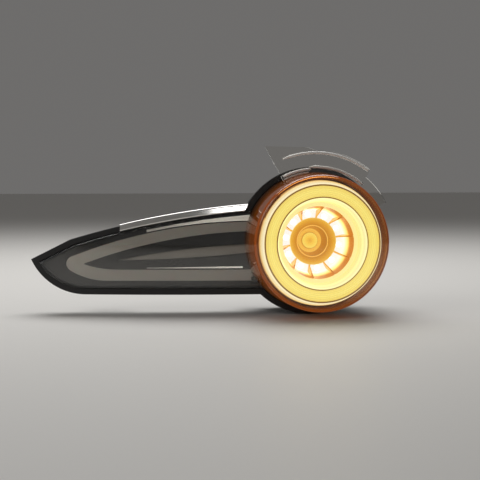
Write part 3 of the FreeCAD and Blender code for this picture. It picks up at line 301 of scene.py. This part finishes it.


# Polycarbonate, amber and lit from behind by a painted glow: pale yellow face, a dark line of painted shade
# at each edge, painted shade in the grooves.
def lit_ring():
    material, tree, shader = start("polycarbonate_amber_lit", Base_Color=tint("#3A260C"), Roughness=0.25,
                                   IOR=POLYCARBONATE_IOR, Emission_Strength=1.15)
    radius = from_axis(tree, axes_of(tree))
    glow = bands(tree, radius, MM,
                 (32.0, "#F6D874"), (34.0, "#FFFAA6"), (36.0, "#FFFDC0"), (36.4, "#FBE48E"),
                 (36.6, "#7A4A14"), (37.2, "#7A4A14"),
                 (37.4, "#FBE274"), (42.0, "#FFEC7E"), (45.9, "#F6DA6C"),
                 (46.1, "#6E4212"), (46.9, "#6E4212"),
                 (47.1, "#FBE29A"), (47.6, "#FFF6D4"), (49.0, "#FCE8AC"), (50.3, "#E6B45C"))
    groove = put(tree, "MapRange", {"Value": radius, "From Min": GROOVE_BEGINS * MM,
                                    "From Max": (GROOVE_BEGINS + GROOVE_HALF) * MM}, clamp=False)
    wave = put(tree, "Math", {0: groove.outputs["Result"], 1: 1.0}, operation="PINGPONG")
    shade = put(tree, "MapRange", {"Value": wave.outputs["Value"], "To Min": GROOVE_CREST,
                                   "To Max": GROOVE_ROOT})
    lined = put(tree, "VectorMath", {0: glow, "Scale": shade.outputs["Result"]}, operation="SCALE")
    tree.links.new(lined.outputs["Vector"], shader.inputs["Emission Color"])
    return material


# Polycarbonate with a bright metal film, lit in each cell by a painted glow: white floor, yellow side,
# painted shade in dark amber above it.
def lit_cells():
    material, tree, shader = start("polycarbonate_metallised_lit", Base_Color=tint("#8A6424"),
                                   Metallic=1.0, Roughness=0.3, Emission_Strength=1.15)
    axes = axes_of(tree)
    radius = from_axis(tree, axes)
    depth = put(tree, "MapRange", {"Value": axes["Y"], "From Min": CELL_FLOOR, "From Max": RIM_FRONT})
    height = depth.outputs["Result"]
    glow = bands(tree, height, 1.0,
                 (0.0, "#FFF4D0"), (0.14, "#FFFDF8"), (0.26, "#FFFCE6"), (0.38, "#FDF6AE"),
                 (0.54, "#F6E070"), (0.62, "#CE8C2A"), (0.7, "#B06A16"), (0.95, "#B06A16"),
                 (0.985, "#FBEEA0"))
    angle = put(tree, "Math", {0: axes["Z"], 1: axes["X"]}, operation="ARCTAN2")
    turned = put(tree, "Math", {0: angle.outputs["Value"], 1: CELL_TURN}, operation="SUBTRACT")
    half_cell = math.pi / CELL_COUNT
    wrapped = put(tree, "Math", {0: turned.outputs["Value"], 1: half_cell}, operation="PINGPONG")
    off_wall = put(tree, "Math", {0: wrapped.outputs["Value"], 1: radius}, operation="MULTIPLY")
    beside = put(tree, "MapRange", {"Value": off_wall.outputs["Value"], "From Min": WALL_HALF * MM,
                                    "From Max": WALL_FADED * MM})
    above = put(tree, "MapRange", {"Value": height, "From Min": WALL_TOP, "From Max": WALL_GONE})
    clear = put(tree, "Math", {0: beside.outputs["Result"], 1: above.outputs["Result"]},
                operation="MAXIMUM")
    # Painted shade: near each wall between the cells, low in the bowl, a darker amber takes the place of
    # the glow.
    colour = put(tree, "Mix", {"Factor": clear.outputs["Value"], FIRST_COLOUR: tint("#DDA740"),
                               SECOND_COLOUR: glow}, data_type="RGBA")
    tree.links.new(colour.outputs[MIXED_COLOUR], shader.inputs["Emission Color"])
    return material


# Silicone over the chip: white hot.
def lit_source():
    material, tree, shader = start("silicone_lit", Base_Color=tint("#FFF4D6"),
                                   Emission_Color=tint("#FFF3D8"), Emission_Strength=3.0)
    grain(tree, shader, size_mm=1.0, depth_mm=0.01, roughness=0.3)
    return material


# Polycarbonate, satin amber, with a painted glow: a dish, a painted highlight on the lip, painted shade on
# the funnel wall and a pale button at its end.
def lit_funnel():
    material, tree, shader = start("polycarbonate_satin_amber_lit", Base_Color=tint("#4A2C0A"),
                                   IOR=POLYCARBONATE_IOR, Emission_Strength=1.1)
    glow = bands(tree, from_axis(tree, axes_of(tree)), MM,
                 (0.0, "#EEB044"), (3.0, "#FFD052"), (6.2, "#FFE068"), (6.8, "#C88420"),
                 (7.2, "#F6BA48"), (9.7, "#FBC452"), (10.1, "#BC7820"), (12.3, "#B06C18"),
                 (12.6, "#FFC65E"), (13.0, "#FFC65E"),
                 (13.4, "#CC8418"), (16.5, "#E2A028"), (18.8, "#F0B83C"), (19.3, "#FFDC80"))
    tree.links.new(glow, shader.inputs["Emission Color"])
    grain(tree, shader, size_mm=1.5, depth_mm=0.02, roughness=0.35)
    return material


# Polycarbonate, dark brown: light of the ring leaks into the sleeve and makes it glow a little.
def brown_sleeve():
    material, tree, shader = start("polycarbonate_brown", Base_Color=tint("#5A3318"), IOR=POLYCARBONATE_IOR,
                                   Emission_Color=tint("#6B3C18"), Emission_Strength=0.3)
    grain(tree, shader, size_mm=2.0, depth_mm=0.03, roughness=0.35)
    return material


# Polybutylene, filled white: bounces light forwards.
def white_polybutylene():
    material, tree, shader = start("polybutylene_white", Base_Color=tint("#DEDCD7"), IOR=1.55)
    grain(tree, shader, size_mm=0.6, depth_mm=0.02, roughness=0.5)
    return material


# Glass-fibre epoxy under a solder mask: the weave shows faintly, drawn coarser than the real one.
# A board beside light sources that are lit glows with their light.
def masked_epoxy(name, code, weave_code, weave_mm=0.8, glow=0.0):
    material, tree, shader = start(name, IOR=1.5, Emission_Color=tint("#FFF3D8"), Emission_Strength=glow)
    place = put(tree, "TexCoord")
    weave = put(tree, "TexChecker", {"Vector": place.outputs["Object"], "Scale": 1 / (weave_mm * MM),
                                     "Color1": tint(code), "Color2": tint(weave_code)})
    tree.links.new(weave.outputs["Color"], shader.inputs["Base Color"])
    grain(tree, shader, size_mm=weave_mm, depth_mm=0.01, roughness=0.3)
    return material


# Aluminium, die cast: pale grey with a fine cast skin.
def cast_aluminium():
    material, tree, shader = start("aluminium_cast", Base_Color=tint("#C9CACB"), Metallic=1.0)
    grain(tree, shader, size_mm=1.2, depth_mm=0.03, roughness=0.42)
    return material


# Steel, zinc plated: grey with a bluish cast.
def zinc_steel():
    material, tree, shader = start("steel_zinc_plated", Base_Color=tint("#B4B8BA"), Metallic=1.0)
    grain(tree, shader, size_mm=0.8, depth_mm=0.01, roughness=0.32)
    return material


# Brass, tin plated: pale and satin.
def tinned_brass():
    material, tree, shader = start("brass_tinned", Base_Color=tint("#CFC9BB"), Metallic=1.0)
    grain(tree, shader, size_mm=0.7, depth_mm=0.01, roughness=0.28)
    return material


# Rubber, moulded: matt black.
def black_rubber():
    material, tree, shader = start("rubber_black", Base_Color=tint("#1C1B1B"), IOR=1.52)
    grain(tree, shader, size_mm=0.5, depth_mm=0.03, roughness=0.68)
    return material


# Polyethylene foam: matt black with open cells at the cut.
def black_foam():
    material, tree, shader = start("polyethylene_foam_black", Base_Color=tint("#242323"), IOR=1.45)
    grain(tree, shader, size_mm=1.1, depth_mm=0.25, roughness=0.85)
    return material


steel = zinc_steel()
dress(clear_polycarbonate(), "outer_lens")
dress(black_polypropylene(), "rear_housing", "connector_socket")
dress(matt_black_abs(), "bezel_frame")
dress(piano_black_abs(), "bezel_insert")
dress(metallised_abs("abs_metallised_bright", roughness=0.12), "top_garnish")
dress(metallised_abs("abs_metallised_satin", roughness=0.3), "frame_accent", "insert_accent")
dress(milky_acrylic(), "light_guide", "ring_light_guide")
dress(grey_acrylic(), "blade_guide")
dress(lit_ring(), "ring_lens")
dress(lit_cells(), "cell_reflector")
dress(lit_source(), "turn_leds")
dress(lit_funnel(), "centre_cone")
dress(brown_sleeve(), "optic_carrier")
dress(white_polybutylene(), "ring_reflector", "guide_carrier", "guide_leds")
dress(masked_epoxy("epoxy_board_white_lit", "#E6E4DC", "#DEDCD4", glow=0.9), "turn_board")
dress(masked_epoxy("epoxy_board_green", "#14301E", "#183824"), "guide_board", "driver_board")
dress(cast_aluminium(), "heat_sink")
dress(steel, "mounting_studs", "optic_screws")
dress(tinned_brass(), "connector_pins")
dress(black_rubber(), "vent_cap", "lens_seal", "driver_parts")
dress(black_foam(), "body_gasket")


def skin(name, stacks, material):
    """A piece from stacks of rings in mm: each ring is joined to the next, and both ends are capped."""
    build = bmesh.new()
    for stack in stacks:
        rings = [[build.verts.new(spot * MM) for spot in ring] for ring in stack]
        for near, far in zip(rings, rings[1:]):
            for place in range(len(near)):
                beside = (place + 1) % len(near)
                build.faces.new((near[place], near[beside], far[beside], far[place]))
        build.faces.new(rings[0])
        build.faces.new(rings[-1])
    bmesh.ops.recalc_face_normals(build, faces=build.faces)
    mesh = bpy.data.meshes.new(name)
    build.to_mesh(mesh)
    build.free()
    mesh.shade_smooth()
    mesh.set_sharp_from_angle(angle=SHARP_FROM)
    mesh.materials.append(material)
    piece = bpy.data.objects.new(name, mesh)
    bpy.context.collection.objects.link(piece)
    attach(piece, "root")
    return piece


# Forms of a stud: each gives the radius in mm at a turn round the stud and a place along it

def hex_head(turn, along):
    return HEAD_HALF / math.cos(turn % HEAD_SIDE - HEAD_SIDE / 2)


def collar(turn, along):
    return COLLAR_HALF


def rolled_thread(turn, along):
    flank = abs(2 * ((along / THREAD_PITCH - turn / math.tau) % 1.0) - 1)
    return min(THREAD_ROOT + THREAD_FLANK * flank, THREAD_CREST, THREAD_TIP + THREAD_LENGTH - along)


def threaded_studs():
    """Three studs along Y: six-sided head, collar in its boss, shank with a rolled M6 thread."""
    rows = [
        (-COLLAR_LENGTH - HEAD_HEIGHT, hex_head),
        (-COLLAR_LENGTH, hex_head),
        (-COLLAR_LENGTH, collar),
        (0.0, collar),
    ]
    for row in range(round(THREAD_LENGTH / THREAD_PITCH) * THREAD_STEPS + 1):
        rows.append((row * THREAD_PITCH / THREAD_STEPS, rolled_thread))
    stacks = []
    for degrees in STUD_ANGLES:
        place = math.radians(degrees)
        middle = Vector((math.cos(place), 0, math.sin(place))) * STUD_CIRCLE
        stack = []
        for along, form in rows:
            ring = []
            for segment in range(STUD_SEGMENTS):
                turn = math.tau * segment / STUD_SEGMENTS
                radius = form(turn, along)
                ring.append(middle + Vector((radius * math.cos(turn), along, radius * math.sin(turn))))
            stack.append(ring)
        stacks.append(stack)
    studs = skin("threaded_studs", stacks, steel)
    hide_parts("mounting_studs")


def rib_crowns():
    """Caps over the ribs of the clear flange: straight sides, a half-round crown, tapered ends."""
    turns = [math.pi * step / RIB_FACETS for step in range(RIB_FACETS + 1)]
    stacks = []
    for middle, half, first, last, front in RIBS:
        foot = front - 2 * half - RIB_LAP
        stack = []
        for segment in range(RIB_SEGMENTS + 1):
            share = segment / RIB_SEGMENTS
            angle = math.radians(first + share * (last - first))
            out = Vector((math.cos(angle), 0, math.sin(angle)))
            height = half * min(1.0, RIB_END + RIB_RISE * min(share, 1 - share))
            reach = height + RIB_LAP
            profile = [(reach * math.cos(turn), front + height * math.sin(turn)) for turn in turns]
            profile = [(reach, foot)] + profile + [(-reach, foot)]
            stack.append([out * (middle + across) + Vector((0, -ahead, 0)) for across, ahead in profile])
        stacks.append(stack)
    # The crowns carry a painted highlight: pale lines along the clear ribs.
    crowns = skin("rib_crowns", stacks, rib_highlight_polycarbonate())


threaded_studs()
rib_crowns()


# Stage: a pale floor, a plain surround, soft lamps and the camera

def pale_floor():
    bpy.ops.mesh.primitive_plane_add(size=FLOOR_SIZE, location=(0, 0, FLOOR_LEVEL))
    floor = bpy.context.object
    floor.name = "floor"
    material, tree, shader = start("floor_pale", Base_Color=tint("#D2D0CC"))
    grain(tree, shader, size_mm=4.0, depth_mm=0.02, roughness=0.55)
    floor.data.materials.append(material)


def plain_surround():
    world = bpy.data.worlds.new("surround")
    bpy.context.scene.world = world
    world.use_nodes = True
    background = world.node_tree.nodes["Background"]
    background.inputs["Color"].default_value = tint("#B4B2B0")
    background.inputs["Strength"].default_value = SURROUND_LEVEL


def soft_lamp(name, place, aim, width, height, power, spread=180):
    """An area lamp turned to a point."""
    light = bpy.data.lights.new(name, "AREA")
    light.shape = "ELLIPSE"
    light.size = width
    light.size_y = height
    light.energy = power
    light.spread = math.radians(spread)
    item = bpy.data.objects.new(name, light)
    item.location = place
    item.rotation_euler = (Vector(aim) - Vector(place)).to_track_quat("-Z", "Y").to_euler()
    bpy.context.collection.objects.link(item)
    return item


def shine_on(lamp, *nodes):
    """Keeps the light of a lamp to the named pieces."""
    lit = bpy.data.collections.new(lamp.name + "_pieces")
    for name in nodes:
        lit.objects.link(bpy.data.objects[name])
    lamp.light_linking.receiver_collection = lit


def front_camera():
    camera = bpy.data.cameras.new("camera")
    camera.sensor_fit = "HORIZONTAL"
    camera.angle = CAMERA_ANGLE
    item = bpy.data.objects.new("camera", camera)
    item.location = CAMERA_AT
    level = math.cos(CAMERA_ELEVATION)
    heading = Vector((math.sin(CAMERA_AZIMUTH) * level, math.cos(CAMERA_AZIMUTH) * level,
                      -math.sin(CAMERA_ELEVATION)))
    item.rotation_euler = heading.to_track_quat("-Z", "Y").to_euler()
    bpy.context.collection.objects.link(item)
    bpy.context.scene.camera = item


pale_floor()
plain_surround()
soft_lamp("overhead", place=(-0.08, 0.45, 1.0), aim=BEHIND_LAMP, width=1.3, height=0.9, power=7, spread=125)
soft_lamp("left_front", place=(-1.0, -0.6, 0.7), aim=LAMP_MIDDLE, width=0.8, height=0.8, power=2.6)
garnish_card = soft_lamp("garnish_card", place=(-0.08, -1.7, 0.0), aim=TRIM_END, width=0.3, height=0.1,
                         power=0.02, spread=40)
shine_on(garnish_card, "top_garnish")
accent_card = soft_lamp("accent_card", place=(-0.02, -1.7, 0.0), aim=TRIM_END, width=0.24, height=0.1,
                        power=0.1, spread=40)
shine_on(accent_card, "frame_accent", "insert_accent")
front_camera()
bpy.context.scene.view_settings.view_transform = "Standard"
